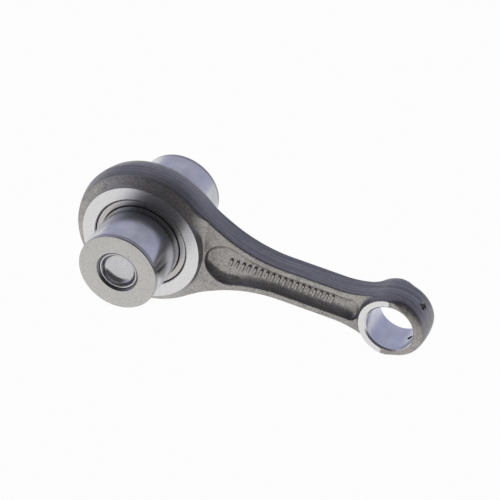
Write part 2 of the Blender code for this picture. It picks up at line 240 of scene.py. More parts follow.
def mesh_from_arrays(name, points, faces):
    """A mesh from points in millimetres and faces that all have the same number of corners."""
    mesh = bpy.data.meshes.new(name)
    corners = faces.shape[1]
    mesh.vertices.add(len(points))
    mesh.vertices.foreach_set("co", (points * MM).astype(np.float32).ravel())
    mesh.loops.add(faces.size)
    mesh.loops.foreach_set("vertex_index", faces.astype(np.int32).ravel())
    mesh.polygons.add(len(faces))
    mesh.polygons.foreach_set("loop_start", np.arange(0, faces.size, corners, dtype=np.int32))
    mesh.update(calc_edges=True)
    return mesh


def rounded(corners, closed):
    """Turns (radius, y, corner radius) points into a polyline whose corners are arcs."""
    count = len(corners)
    line = []
    for i, (r, y, radius) in enumerate(corners):
        here = Vector((r, y))
        if radius == 0 or (not closed and i in (0, count - 1)):
            line.append((r, y))
            continue
        before = (Vector(corners[i - 1][:2]) - here).normalized()
        after = (Vector(corners[(i + 1) % count][:2]) - here).normalized()
        half_angle = before.angle(after) / 2
        reach = radius / math.tan(half_angle)
        start = here + before * reach
        end = here + after * reach
        steps = max(3, round(6 * (math.pi / 2 - half_angle)))
        middle = here + (before + after).normalized() * radius / math.sin(half_angle)
        first = math.atan2(*(start - middle).yx)
        turn = (math.atan2(*(end - middle).yx) - first + math.pi) % (2 * math.pi) - math.pi
        angles = [first + turn * s / steps for s in range(steps + 1)]
        line += [(middle.x + radius * math.cos(a), middle.y + radius * math.sin(a)) for a in angles]
    return [point for i, point in enumerate(line) if math.dist(point, line[i - 1]) > SAME_POINT]


def mirrored(half_profile):
    """Adds the mirror image at negative y of a profile's points, each with a radius and y first."""
    return half_profile + [(point[0], -point[1], *point[2:]) for point in reversed(half_profile)]


def bridge(shape, upper, lower):
    """Faces between two rings of as many corners each. A ring may be one corner, repeated."""
    count = len(upper)
    for s in range(count):
        t = (s + 1) % count
        corners = [upper[s], upper[t], lower[t], lower[s]]
        shape.faces.new(list(dict.fromkeys(corners)))


def lathe_mesh(name, profile, steps):
    """A closed solid of revolution about Y. The profile is (radius, y) points down its outer side.

    A profile that starts and ends on the axis is capped there. Any other profile is a closed ring.
    """
    shape = bmesh.new()
    directions = [(math.cos(2 * math.pi * s / steps), math.sin(2 * math.pi * s / steps)) for s in range(steps)]
    rings = []
    for radius, y in profile:
        if radius == 0:
            rings.append([shape.verts.new((0.0, y * MM, 0.0))] * steps)
        else:
            rings.append([shape.verts.new((radius * MM * u, y * MM, radius * MM * v)) for u, v in directions])
    pairs = list(zip(rings, rings[1:]))
    on_axis = profile[0][0] == 0
    if not on_axis:
        pairs.append((rings[-1], rings[0]))
    for upper, lower in pairs:
        bridge(shape, upper, lower)
    bmesh.ops.recalc_face_normals(shape, faces=shape.faces)
    return mesh_from_shape(name, shape)


def cone_mesh(name, radius_low, radius_high, length, matrices):
    """Equal cylinders or cones along local Z, one at each matrix, in millimetres."""
    shape = bmesh.new()
    for matrix in matrices:
        bmesh.ops.create_cone(
            shape, cap_ends=True, segments=HOLE_SIDES, radius1=radius_low, radius2=radius_high,
            depth=length, matrix=matrix,
        )
    bmesh.ops.scale(shape, vec=(MM, MM, MM), verts=shape.verts)
    return mesh_from_shape(name, shape)


def box_mesh(name, size, matrices, edge_radius):
    """Equal boxes with rounded local Z edges, one at each matrix, in millimetres."""
    box = bmesh.new()
    bmesh.ops.create_cube(box, size=1.0, matrix=Matrix.Diagonal((*size, 1.0)))
    if edge_radius:
        upright = [e for e in box.edges if abs((e.verts[0].co - e.verts[1].co).normalized().z) > 0.99]
        bmesh.ops.bevel(box, geom=upright, offset=edge_radius, segments=4, affect="EDGES", profile=0.5)
    single = mesh_from_shape(name, box)
    shape = bmesh.new()
    for matrix in matrices:
        placed = single.copy()
        placed.transform(matrix)
        shape.from_mesh(placed)
        bpy.data.meshes.remove(placed)
    bpy.data.meshes.remove(single)
    bmesh.ops.scale(shape, vec=(MM, MM, MM), verts=shape.verts)
    return mesh_from_shape(name, shape)


def radial_matrix(x, angle, distance):
    """Local Z points away from the Y-parallel axis at this x, at this angle from +X, this far out."""
    turn = Matrix.Rotation(math.pi / 2 - angle, 4, "Y")
    return Matrix.Translation((x, 0.0, 0.0)) @ turn @ Matrix.Translation((0.0, 0.0, distance))


def cut(obj, cutter_meshes):
    """Cuts closed meshes out of a closed mesh, and makes the result the object's own mesh."""
    helpers = []
    for mesh in cutter_meshes:
        helper = new_object(mesh.name, mesh)
        helpers.append(helper)
        modifier = obj.modifiers.new(mesh.name, "BOOLEAN")
        modifier.operation = "DIFFERENCE"
        modifier.object = helper
        modifier.solver = "MANIFOLD"
    bpy.context.view_layer.update()
    graph = bpy.context.evaluated_depsgraph_get()
    result = bpy.data.meshes.new_from_object(obj.evaluated_get(graph))
    result.name = obj.name
    result.materials.clear()
    obj.modifiers.clear()
    obj.data = result
    for helper in helpers:
        bpy.data.objects.remove(helper)


def finish_piece(obj, body, sharp_above):
    """Hangs a piece on its body, and shades it smooth up to this angle in degrees."""
    obj.data.shade_smooth()
    obj.data.set_sharp_from_angle(angle=math.radians(sharp_above))
    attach(obj, body)


# ---------------------------------------------------------------- the forging as an implicit solid


def convex(a, b, radius):
    """Intersection of two distance fields with a rounded edge."""
    u = np.maximum(a + radius, 0)
    v = np.maximum(b + radius, 0)
    return np.minimum(np.maximum(a, b), -radius) + np.hypot(u, v)


def filleted(a, b, radius):
    """Union of two distance fields with a fillet where they meet."""
    return -convex(-a, -b, radius)


def smooth_share(value, low, high):
    """How far the value is from low to high, from 0 to 1, with a soft start and end."""
    t = np.clip((value - low) / (high - low), 0, 1)
    return t * t * (3 - 2 * t)


def blend(share, first, second):
    return first + (second - first) * share


def neck_centres():
    """The (x, z) centres of the arcs that join the beam's upper side to the two ends' rims."""
    big_z = BEAM_HALF_HEIGHT + BIG_NECK_RADIUS
    big_x = math.sqrt((BIG_RIM_RADIUS + BIG_NECK_RADIUS) ** 2 - big_z**2)
    small_z = BEAM_HALF_HEIGHT + SMALL_NECK_RADIUS
    reach = math.sqrt((SMALL_RIM_RADIUS + SMALL_NECK_RADIUS) ** 2 - small_z**2)
    return (big_x, big_z), (CENTRE_DISTANCE - reach, small_z)


def beyond_line(x, z, start, end):
    """True to the right of the line from start to end, seen with +X to the right and +Z up."""
    return (x - start[0]) * (end[1] - start[1]) > (z - start[1]) * (end[0] - start[0])


def side_distance(x, z):
    """Distance to the rod's outline in side view, at its middle plane. z isn't negative."""
    big_neck, small_neck = neck_centres()
    beam = z - BEAM_HALF_HEIGHT
    beam = np.where(x < big_neck[0], BIG_NECK_RADIUS - np.hypot(x - big_neck[0], z - big_neck[1]), beam)
    small_arc = SMALL_NECK_RADIUS - np.hypot(x - small_neck[0], z - small_neck[1])
    beam = np.where(x > small_neck[0], small_arc, beam)
    big = np.hypot(x, z) - BIG_RIM_RADIUS
    small = np.hypot(x - CENTRE_DISTANCE, z) - SMALL_RIM_RADIUS
    past_big = beyond_line(x, z, (0.0, 0.0), big_neck)
    past_small = ~beyond_line(x, z, small_neck, (CENTRE_DISTANCE, 0.0)) & (x > small_neck[0])
    return np.where(past_small, small, np.where(past_big, beam, big))


def crowned_side(x, y, z):
    """The outline's side, which falls back from the parting line at y = 0. y and z aren't negative."""
    near_big = 1 - smooth_share(x, *BIG_END_TO_BEAM_X)
    near_small = smooth_share(x, *BEAM_TO_SMALL_END_X)
    beam_crown = blend(near_small, *BEAM_CROWNS) * (y / BEAM_HALF_THICKNESS) ** 2
    depth = y / BIG_CROWN_DEPTH
    big_crown = BIG_CROWN_STRAIGHT * depth + BIG_CROWN_CURVED * depth**2
    return side_distance(x, z) + blend(near_big, beam_crown, big_crown)


def slanted_wall(radius, wall_radius, y, wall_y, steepness):
    """Distance to a cone's side that passes through this radius and y."""
    slope = np.radians(steepness)
    return (radius - wall_radius) * np.sin(slope) + (y - wall_y) * np.cos(slope)


def big_end_top(x, y, z):
    """The flange's face and the wall that rises from it to the big end's ring face."""
    angle = np.degrees(np.arctan2(z, x))
    sweep = smooth_share(angle, *NECK_TO_RIM_ANGLE)
    steepness = blend(sweep, *BIG_WALL_STEEPNESS)
    wall = slanted_wall(np.hypot(x, z), BIG_FACE_RADIUS, y, BIG_HALF_WIDTH, steepness)
    shelf = y - blend(smooth_share(angle, *FLANGE_TO_SHELF_ANGLE), *SHELF_HALF_WIDTHS)
    return filleted(shelf, wall, blend(sweep, *BIG_WALL_FILLETS))


def small_end_top(x, y, z, tip, back):
    """The small end's face and the slanted wall round it. tip and back are shares from 0 to 1."""
    shoulder = blend(tip, blend(back, *SMALL_NECK_SHOULDERS), SMALL_TIP_SHOULDER)
    shoulder_y = blend(tip, *SMALL_SHOULDER_HALF_WIDTHS)
    from_axis = np.hypot(x - CENTRE_DISTANCE, z)
    wall = slanted_wall(from_axis, shoulder, y, shoulder_y, blend(tip, *SMALL_WALL_STEEPNESS))
    face = SMALL_FORGED_HALF + PAD_STOCK * (1 - smooth_share(x, *PAD_TO_FORGED_X))
    return convex(wall, y - face, SMALL_FACE_EDGE_RADIUS)


def recess_distance(x, z):
    """Distance to the recess's outline at the flange's face.

    The recess has a round head, tapering sides and a squarer end.
    """
    neck = neck_centres()[0]
    side_radius = BIG_NECK_RADIUS + FLANGE_WIDTH
    reach = math.sqrt((side_radius + RECESS_ROUND_RADIUS) ** 2 - neck[1] ** 2)
    round_x = neck[0] - reach
    sides = np.where(
        x < neck[0],
        side_radius - np.hypot(x - neck[0], z - neck[1]),
        z - (BEAM_HALF_HEIGHT - FLANGE_WIDTH),
    )
    tail = convex(sides, x - RECESS_END_X, RECESS_CORNER_RADIUS)
    head = np.hypot(x - round_x, z) - RECESS_ROUND_RADIUS
    return np.where(beyond_line(x, z, (round_x, 0.0), neck), tail, head)


def recess_cavity(x, y, z, lower):
    """Negative inside the recess. Its floor fillet is largest below, and smallest at the head."""
    depth = BEAM_HALF_THICKNESS - y
    wall = recess_distance(x, z) * math.cos(RECESS_DRAFT) + depth * math.sin(RECESS_DRAFT)
    past_head = np.maximum(smooth_share(z, *HEAD_TO_FLOOR_Z), smooth_share(x, *HEAD_TO_FLOOR_X))
    radius = blend(past_head, RECESS_HEAD_RADIUS, blend(lower, *RECESS_FLOOR_RADII))
    radius = blend(smooth_share(x, *FLOOR_TO_END_X), radius, RECESS_END_RADIUS)
    return convex(wall, WEB_HALF_THICKNESS - y, radius)


def forging_field(x, y, z):
    """Negative inside the forging before it is machined."""
    back = smooth_share(y, *FRONT_TO_BACK_Y)
    lower = smooth_share(-z, *UPPER_TO_LOWER_Z)
    tip = smooth_share(x, *NECK_TO_TIP_X)
    y = np.abs(y)
    z = np.abs(z)
    top = filleted(big_end_top(x, y, z), small_end_top(x, y, z, tip, back), SMALL_WALL_FILLET)
    body = convex(crowned_side(x, y, z), top, blend(tip, *SIDE_EDGE_RADII))
    body = convex(body, -recess_cavity(x, y, z, lower), RECESS_RIM_RADIUS)
    return np.maximum(body, y - BIG_HALF_WIDTH - RING_STOCK)


def crossed_cells(field):
    """The cells of a sampled field that its zero surface crosses, and the crossings' mean place in each."""
    cells = tuple(n - 1 for n in field.shape)
    total = np.zeros((*cells, 3), np.float32)
    count = np.zeros(cells, np.uint8)
    for axis in range(3):
        others = [a for a in range(3) if a != axis]
        for corner in np.ndindex(2, 2):
            start = [0, 0, 0]
            start[others[0]], start[others[1]] = corner
            end = list(start)
            end[axis] = 1
            near = field[tuple(slice(s, s + n) for s, n in zip(start, cells))]
            far = field[tuple(slice(s, s + n) for s, n in zip(end, cells))]
            at = np.nonzero((near < 0) != (far < 0))
            place = np.tile(np.array(start, np.float32), (len(at[0]), 1))
            place[:, axis] = near[at] / (near[at] - far[at])
            total[at] += place
            count[at] += 1
    crossed = np.nonzero(count)
    return crossed, total[crossed] / count[crossed][:, None]


def surface_net(field, low, step):
    """Points and quads of a sampled field's zero surface: one point in each cell that it crosses."""
    crossed, offset = crossed_cells(field)
    points = np.array(low) + step * (np.stack(crossed, axis=1) + offset)
    index = np.full([n - 1 for n in field.shape], -1, np.int64)
    index[crossed] = np.arange(len(points))
    quads = []
    for axis in range(3):
        u, v = (axis + 1) % 3, (axis + 2) % 3
        inner = [slice(1, -1)] * 3
        inner[axis] = slice(0, -1)
        outer = list(inner)
        outer[axis] = slice(1, None)
        near = field[tuple(inner)] < 0
        far = field[tuple(outer)] < 0
        for solid_first in (True, False):
            at = np.stack(np.nonzero((near == solid_first) & (far != solid_first)), axis=1)
            at[:, u] += 1
            at[:, v] += 1
            ring = []
            for du, dv in ((-1, -1), (0, -1), (0, 0), (-1, 0)):
                cell = at.copy()
                cell[:, u] += du
                cell[:, v] += dv
                ring.append(index[tuple(cell.T)])
            quad = np.stack(ring, axis=1)
            quads.append(quad if solid_first else quad[:, ::-1])
    return points, np.concatenate(quads)


def pulled_to_surface(points):
    """Moves points along the field's slope onto the surface itself."""
    probe = SLOPE_PROBE
    for _ in range(SURFACE_ROUNDS):
        x, y, z = points.T
        value = forging_field(x, y, z)
        slope = np.stack(
            [
                forging_field(x + probe, y, z) - forging_field(x - probe, y, z),
                forging_field(x, y + probe, z) - forging_field(x, y - probe, z),
                forging_field(x, y, z + probe) - forging_field(x, y, z - probe),
            ],
            axis=1,
        ) / (2 * probe)
        squared_slope = np.maximum((slope**2).sum(axis=1), LEAST_SQUARED_SLOPE)
        pull = np.clip(value / squared_slope, -LONGEST_PULL, LONGEST_PULL)
        points = points - pull[:, None] * slope
    return points


def forging_mesh():
    step = FORGING_STEP
    margin = 2 * step
    low = (-BIG_RIM_RADIUS - margin, -BIG_HALF_WIDTH - RING_STOCK - margin, -BIG_RIM_RADIUS - margin)
    high = (CENTRE_DISTANCE + SMALL_RIM_RADIUS + margin, -low[1], -low[2])
    axes = [np.arange(a, b + step, step) for a, b in zip(low, high)]
    grid = np.meshgrid(*axes, indexing="ij", sparse=True)
    points, quads = surface_net(forging_field(*grid), low, step)
    return mesh_from_arrays("rod_forging", pulled_to_surface(points), quads)


# ---------------------------------------------------------------- pieces


def bore_cutter(name, x, radius, half_width, chamfer):
    reach = half_width + OVERRUN
    half = [(0.0, reach), (radius + chamfer + OVERRUN, reach), (radius, half_width - chamfer)]
    mesh = lathe_mesh(name, mirrored(half), BORE_STEPS)
    mesh.transform(Matrix.Translation((x * MM, 0.0, 0.0)))
    return mesh


def facing_cutters(name, x, radius, half_width):
    """Discs that mill both faces of an end flat."""
    meshes = []
    for side in (-1, 1):
        low, high = sorted((side * half_width, side * (half_width + OVERRUN)))
        profile = [(0.0, high), (radius, high), (radius, low), (0.0, low)]
        mesh = lathe_mesh(f"{name}_{side}", profile, FACING_STEPS)
        mesh.transform(Matrix.Translation((x * MM, 0.0, 0.0)))
        meshes.append(mesh)
    return meshes


def oil_hole_cutters():
    """Drills that start inside the small bore, and right-angled sinks at the rim."""
    outer = SMALL_RIM_RADIUS + OVERRUN
    length = outer - OIL_HOLE_START
    middle = (OIL_HOLE_START + outer) / 2
    drills = [radial_matrix(CENTRE_DISTANCE, a, middle) for a in OIL_HOLE_ANGLES]
    sinks = [radial_matrix(CENTRE_DISTANCE, a, SMALL_RIM_RADIUS) for a in OIL_HOLE_ANGLES]
    sink_size = 2 * OIL_HOLE_SINK_RADIUS
    return [
        cone_mesh("oil_holes", OIL_HOLE_RADIUS, OIL_HOLE_RADIUS, length, drills),
        cone_mesh("oil_sinks", SINK_POINT, sink_size, sink_size, sinks),
    ]


def make_rod(forged, big_face, small_face, big_bore, small_bore):
    rod = new_object("rod_forging", forging_mesh())
    cutters = facing_cutters("big_facing", 0.0, BIG_FACING_RADIUS, BIG_HALF_WIDTH)
    cutters += facing_cutters("small_facing", CENTRE_DISTANCE, SMALL_FACING_RADIUS, SMALL_PAD_HALF)
    cutters.append(bore_cutter("big_bore", 0.0, BIG_BORE_RADIUS, BIG_HALF_WIDTH, BIG_BORE_CHAMFER))
    cutters.append(bore_cutter(
        "small_bore", CENTRE_DISTANCE, SMALL_BORE_RADIUS, SMALL_PAD_HALF, SMALL_BORE_CHAMFER
    ))
    cutters += oil_hole_cutters()
    cut(rod, cutters)
    for material in (forged, big_face, small_face, big_bore, small_bore):
        rod.data.materials.append(material)
    rod.data.polygons.foreach_set("material_index", rod_finishes(rod.data, *range(5)))
    finish_piece(rod, "rod", sharp_above=28)
    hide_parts("connecting_rod")


def rod_finishes(mesh, forged, big_face, small_face, big_bore, small_bore):
    """One of these material numbers for each face: the milled faces and the bores aren't forged."""
    count = len(mesh.polygons)
    centre = np.empty(count * 3, np.float32)
    normal = np.empty(count * 3, np.float32)
    mesh.polygons.foreach_get("center", centre)
    mesh.polygons.foreach_get("normal", normal)
    x, y, z = centre.reshape(-1, 3).T / MM
    normal_x, normal_y, normal_z = normal.reshape(-1, 3).T
    y = np.abs(y)
    flat = np.abs(normal_y) > 0.999
    from_big = np.hypot(x, z)
    from_small = np.hypot(x - CENTRE_DISTANCE, z)
    inward_big = -(normal_x * x + normal_z * z) / np.maximum(from_big, 1)
    inward_small = -(normal_x * (x - CENTRE_DISTANCE) + normal_z * z) / np.maximum(from_small, 1)
    in_small = inward_small > 0.5
    finish = np.full(count, forged, np.int32)
    finish[flat & (y > BIG_HALF_WIDTH - 0.01)] = big_face
    finish[flat & (y > SMALL_PAD_HALF - 0.01) & (from_small < SMALL_RIM_RADIUS)] = small_face
    finish[(from_big < BIG_BORE_RADIUS + 0.4) & (inward_big > 0.5)] = big_bore
    finish[(from_small < SMALL_BORE_RADIUS + 0.05) & in_small] = small_bore
    chamfer = (from_small < SMALL_BORE_RADIUS + 0.8) & in_small & (inward_small < 0.9)
    finish[chamfer & (y > SMALL_PAD_HALF - 1.0)] = small_face
    return finish


def bar_ring(shape, place, radius, height):
    """Corners of a bar's round-ended outline at this height above the recess's front floor."""
    ring = []
    for s in range(BAR_SIDES):
        angle = 2 * math.pi * s / BAR_SIDES
        end = math.copysign(BAR_HALF_LENGTH, math.sin(angle))
        x, z = radius * math.cos(angle), end + radius * math.sin(angle)
        ring.append(shape.verts.new(place @ Vector((x, -(WEB_HALF_THICKNESS + height), z)) * MM))
    return ring


def make_bars(material):
    """A row of raised slanted bars on the recess's front floor, in place of the forging's lettering."""
    shape = bmesh.new()
    lean = Matrix.Rotation(BAR_LEAN, 4, "Y")
    for i in range(BAR_COUNT):
        place = Matrix.Translation((BAR_FIRST_X + BAR_PITCH * i, 0.0, BAR_ROW_Z)) @ lean
        rings = [bar_ring(shape, place, BAR_HALF_WIDTH + grow, height) for grow, height in BAR_PROFILE]
        for lower, upper in zip(rings, rings[1:]):
            bridge(shape, lower, upper)
        shape.faces.new(rings[0])
        shape.faces.new(list(reversed(rings[-1])))
    bmesh.ops.recalc_face_normals(shape, faces=shape.faces)
    bars = new_object("recess_bars", mesh_from_shape("recess_bars", shape))
    bars.data.materials.append(material)
    finish_piece(bars, "rod", sharp_above=50)


def make_crankpin(ground, end_face, bore, lead_in):
    end = PIN_HALF_LENGTH
    half = [
        (PIN_GALLERY_RADIUS, end - PIN_SEAT_DEPTH, 0.3),
        (PIN_SEAT_RADIUS, end - PIN_SEAT_DEPTH, 0.2),
        (PIN_SEAT_RADIUS, end - 0.7, 0.15),
        (PIN_SEAT_RADIUS + 0.85, end, 0.1),
        (PIN_RADIUS - 0.3, end, 0.18),
        (PIN_RADIUS - 0.1, end - 0.35, 0.2),
        (PIN_RADIUS - 0.08, end - 1.5, 0.15),
        (PIN_RADIUS, end - 1.75, 0.15),
    ]
    pin = new_object("crankpin_ground", lathe_mesh("crankpin_ground", rounded(mirrored(half), True), PIN_STEPS))
    drills = [Matrix.Translation((0.0, y, -0.75 * PIN_RADIUS)) for y in PIN_HOLE_PLACES_Y]
    sinks = [Matrix.Translation((0.0, y, -PIN_RADIUS)) for y in PIN_HOLE_PLACES_Y]
    sink_size = 2 * PIN_HOLE_SINK_RADIUS
    cut(pin, [
        cone_mesh("pin_holes", PIN_HOLE_RADIUS, PIN_HOLE_RADIUS, 1.5 * PIN_RADIUS, drills),
        cone_mesh("pin_hole_sinks", sink_size, SINK_POINT, sink_size, sinks),
    ])
    for material in (ground, end_face, bore, lead_in):
        pin.data.materials.append(material)
    for face in pin.data.polygons:
        from_end = end - abs(face.center.y) / MM
        if abs(face.normal.y) > 0.9 and from_end < 0.5:
            face.material_index = 1
        elif math.hypot(face.center.x, face.center.z) / MM < PIN_SEAT_RADIUS + 1.0:
            face.material_index = 2
        elif from_end < 1.7:
            face.material_index = 3
    finish_piece(pin, "crankpin", sharp_above=35)
    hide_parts("crankpin")


def make_plug(node, side, material):
    """A drawn cup, open towards the pin's end."""
    rim, floor = PIN_HALF_LENGTH - PLUG_RECESS, PIN_HALF_LENGTH - PLUG_FLOOR_DEPTH
    inner = PLUG_RADIUS - PLUG_WALL
    corners = [
        (0.0, floor, 0.0),
        (inner, floor, PLUG_CORNER_RADIUS),
        (inner, rim, 0.35),
        (PLUG_RADIUS, rim, 0.35),
        (PLUG_RADIUS, floor - PLUG_FLOOR_THICKNESS, 0.7),
        (0.0, floor - PLUG_FLOOR_THICKNESS, 0.0),
    ]
    if side < 0:
        corners = [(r, -y, radius) for r, y, radius in reversed(corners)]
    plug = new_object(node + "_cup", lathe_mesh(node + "_cup", rounded(corners, False), PLUG_STEPS))
    plug.data.materials.append(material)
    finish_piece(plug, "crankpin", sharp_above=40)
    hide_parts(node)


def roller_angle(index):
    return math.radians(90) + (index + 0.5) * 2 * math.pi / ROLLER_COUNT


def make_cage(material):
    face = CAGE_HALF_WIDTH
    half = [
        (CAGE_INNER_RADIUS, face, 0.22),
        (CAGE_OUTER_RADIUS - 0.35, face, 0.12),
        (CAGE_OUTER_RADIUS, face - 0.4, 0.12),
    ]
    mesh = lathe_mesh("bearing_cage_ring", rounded(mirrored(half), True), CAGE_STEPS)
    cage = new_object("bearing_cage_ring", mesh)
    depth = 2 * (CAGE_OUTER_RADIUS - CAGE_INNER_RADIUS)
    width, length = (2 * half_size + CAGE_WINDOW_PLAY for half_size in (ROLLER_RADIUS, ROLLER_HALF_LENGTH))
    windows = [radial_matrix(0.0, roller_angle(i), ROLLER_PITCH_RADIUS) for i in range(ROLLER_COUNT)]
    notches = [Matrix.Translation((0.0, side * face, ROLLER_PITCH_RADIUS)) for side in (-1, 1)]
    cut(cage, [
        box_mesh("cage_windows", (width, length, depth), windows, CAGE_WINDOW_CORNER_RADIUS),
        box_mesh("cage_notches", (*CAGE_NOTCH, depth), notches, 0.0),
    ])
    cage.data.materials.append(material)
    finish_piece(cage, "cage", sharp_above=35)
    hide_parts("bearing_cage")


def make_rollers(material):
    end = ROLLER_HALF_LENGTH
    corners = [
        (0.0, end, 0.0),
        (ROLLER_RADIUS, end, ROLLER_END_RADIUS),
        (ROLLER_RADIUS, -end, ROLLER_END_RADIUS),
        (0.0, -end, 0.0),
    ]
    mesh = lathe_mesh("needle_roller", rounded(corners, False), ROLLER_STEPS)
    mesh.materials.append(material)
    for index in range(ROLLER_COUNT):
        node = f"roller_{index + 1:02d}"
        roller = new_object(node + "_needle", mesh)
        angle = roller_angle(index)
        roller.location += ROLLER_PITCH_RADIUS * MM * Vector((math.cos(angle), 0.0, math.sin(angle)))
        finish_piece(roller, node + "_body", sharp_above=50)
        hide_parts(node)


# ---------------------------------------------------------------- materials


class Nodes:
    """Short forms for building a node tree. Places are in metres, and colours are linear."""

    def __init__(self, tree):
        self.tree = tree
        self.coords = tree.nodes.new("ShaderNodeTexCoord")
        self.place = self.coords.outputs["Object"]

    def put(self, socket, value):
        if isinstance(value, bpy.types.NodeSocket):
            self.tree.links.new(value, socket)
        elif isinstance(value, tuple) and len(value) == 3 and socket.type == "RGBA":
            socket.default_value = (*value, 1.0)
        else:
            socket.default_value = value

    def math(self, operation, a, b=0.0):
        node = self.tree.nodes.new("ShaderNodeMath")
        node.operation = operation
        self.put(node.inputs[0], a)
        self.put(node.inputs[1], b)
        return node.outputs[0]

    def vector(self, operation, a, b=(0.0, 0.0, 0.0)):
        node = self.tree.nodes.new("ShaderNodeVectorMath")
        node.operation = operation
        self.put(node.inputs[0], a)
        self.put(node.inputs[1], b)
        return node.outputs["Value" if operation in ("LENGTH", "DOT_PRODUCT") else "Vector"]

    def noise(self, vector, scale, detail=2.0, roughness=0.5):
        node = self.tree.nodes.new("ShaderNodeTexNoise")
        self.put(node.inputs["Vector"], vector)
        self.put(node.inputs["Scale"], scale)
        self.put(node.inputs["Detail"], detail)
        self.put(node.inputs["Roughness"], roughness)
        return node.outputs["Fac"]

    def spread(self, value, low, high, to_low=0.0, to_high=1.0):
        """Takes low to to_low and high to to_high, with a soft start and end."""
        node = self.tree.nodes.new("ShaderNodeMapRange")
        node.interpolation_type = "SMOOTHSTEP"
        self.put(node.inputs["Value"], value)
        for key, number in (("From Min", low), ("From Max", high), ("To Min", to_low), ("To Max", to_high)):
            self.put(node.inputs[key], number)
        return node.outputs["Result"]

    def mix(self, share, a, b):
        node = self.tree.nodes.new("ShaderNodeMix")
        node.data_type = "RGBA"
        self.put(node.inputs["Factor"], share)
        self.put(node.inputs[6], a)
        self.put(node.inputs[7], b)
        return node.outputs[2]

    def bump(self, height, distance, strength):
        """The distance is in millimetres."""
        node = self.tree.nodes.new("ShaderNodeBump")
        self.put(node.inputs["Height"], height)
        self.put(node.inputs["Distance"], distance * MM)
        self.put(node.inputs["Strength"], strength)
        return node.outputs["Normal"]

    def split(self, vector):
        node = self.tree.nodes.new("ShaderNodeSeparateXYZ")
        self.put(node.inputs[0], vector)
        return node.outputs[0], node.outputs[1], node.outputs[2]

    def join(self, x, y, z):
        node = self.tree.nodes.new("ShaderNodeCombineXYZ")
        for socket, value in zip(node.inputs, (x, y, z)):
            self.put(socket, value)
        return node.outputs[0]

    def to_world(self, vector):
        node = self.tree.nodes.new("ShaderNodeVectorTransform")
        node.vector_type = "VECTOR"
        node.convert_from = "OBJECT"
        node.convert_to = "WORLD"
        self.put(node.inputs[0], vector)
        return node.outputs[0]

    def camera_ray(self):
        return self.tree.nodes.new("ShaderNodeLightPath").outputs["Is Camera Ray"]


class Surface(Nodes):
    """A material, and short forms for building it."""

    def __init__(self, name):
        self.material = bpy.data.materials.new(name)
        self.material.use_nodes = True
        super().__init__(self.material.node_tree)

    def set(self, **values):
        shader = self.tree.nodes["Principled BSDF"]
        for key, value in values.items():
            self.put(shader.inputs[key.replace("_", " ")], value)


def shaded(colour, share):
    return tuple(share * c for c in colour)


def forged_steel():
    """Shot-blasted forging: a warm grey grain on the faces, and round the edge a smoother skin whose darker,
    bluer colour is partly painted shade, the reflection of a dark ceiling.
    """
    n = Surface("forged_steel")
    facing = n.math("ABSOLUTE", n.split(n.coords.outputs["Normal"])[1])
    face = n.spread(facing, 0.35, 0.8)
    grain = n.noise(n.place, 1900.0, detail=3.0, roughness=0.6)
    mottle = n.noise(n.place, 420.0)
    blotch = n.noise(n.place, 60.0)
    lines = n.noise(n.vector("MULTIPLY", n.place, (25.0, 2400.0, 25.0)), 1.0)
    face_colour = n.mix(n.spread(grain, 0.3, 0.7), (0.235, 0.222, 0.212), (0.555, 0.528, 0.505))
    face_colour = n.mix(n.spread(mottle, 0.55, 0.75, 0.0, 0.35), face_colour, (0.13, 0.125, 0.12))
    # The sides' colour is darker and bluer than the faces': partly their smoother trimmed skin, partly painted
    # shade that stands in for the dark bluish ceiling they reflect.
    side_skin_and_shade = n.mix(n.spread(lines, 0.3, 0.7), (0.155, 0.152, 0.168), (0.295, 0.289, 0.318))
    side_skin_and_shade = n.mix(n.spread(grain, 0.35, 0.75, 0.0, 0.3), side_skin_and_shade, (0.09, 0.09, 0.10))
    colour = n.mix(face, side_skin_and_shade, face_colour)
    colour = n.mix(n.spread(blotch, 0.35, 0.75, 0.0, 0.25), colour, (0.16, 0.155, 0.155))
    rough = n.math("ADD", n.spread(face, 0.0, 1.0, 0.40, 0.42), n.spread(mottle, 0.3, 0.7, -0.04, 0.06))
    height = n.math("MULTIPLY", grain, n.spread(face, 0.0, 1.0, 0.45, 1.0))
    height = n.math("ADD", height, n.math("MULTIPLY", lines, n.spread(face, 0.0, 1.0, 0.5, 0.0)))
    n.set(Base_Color=colour, Roughness=rough, Metallic=0.9, Normal=n.bump(height, 0.09, 0.5))
    return n.material


def turned_steel(name, centre_x, colour, roughness, anisotropy, ring_scale):
    """A turned or milled face: fine rings round an axis at this x, which smear reflections across them."""
    n = Surface(name)
    x, _, z = n.split(n.place)
    away = n.join(n.math("SUBTRACT", x, centre_x * MM), 0.0, z)
    ring_place = n.join(n.math("MULTIPLY", n.vector("LENGTH", away), ring_scale), 0.0, 0.0)
    rings = n.noise(ring_place, 1.0, detail=3.0, roughness=0.7)
    fine = n.noise(n.place, 1500.0)
    light = n.math("MULTIPLY", rings, n.spread(fine, 0.2, 0.8, 0.8, 1.1))
    n.set(
        Base_Color=n.mix(n.spread(light, 0.25, 0.7), shaded(colour, 0.78), colour),
        Metallic=1.0,
        Roughness=roughness,
        Anisotropic=anisotropy,
        Tangent=n.to_world(away),
        Normal=n.bump(rings, 0.02, 0.35),
    )
    return n.material


def ground_steel(name, colour, roughness, anisotropy):
    """A cylinder ground round the Y axis: reflections smear along it."""
    n = Surface(name)
    marks = n.noise(n.vector("MULTIPLY", n.place, (90.0, 4200.0, 90.0)), 1.0)
    cloud = n.noise(n.place, 110.0)
    n.set(
        Base_Color=n.mix(n.spread(cloud, 0.35, 0.7), colour, shaded(colour, 0.86)),
        Metallic=1.0,
        Roughness=n.math("ADD", roughness, n.spread(cloud, 0.3, 0.7, -0.02, 0.03)),
        Anisotropic=anisotropy,
        Tangent=n.to_world(n.join(0.0, 1.0, 0.0)),
        Normal=n.bump(marks, 0.01, 0.25),
    )
    return n.material


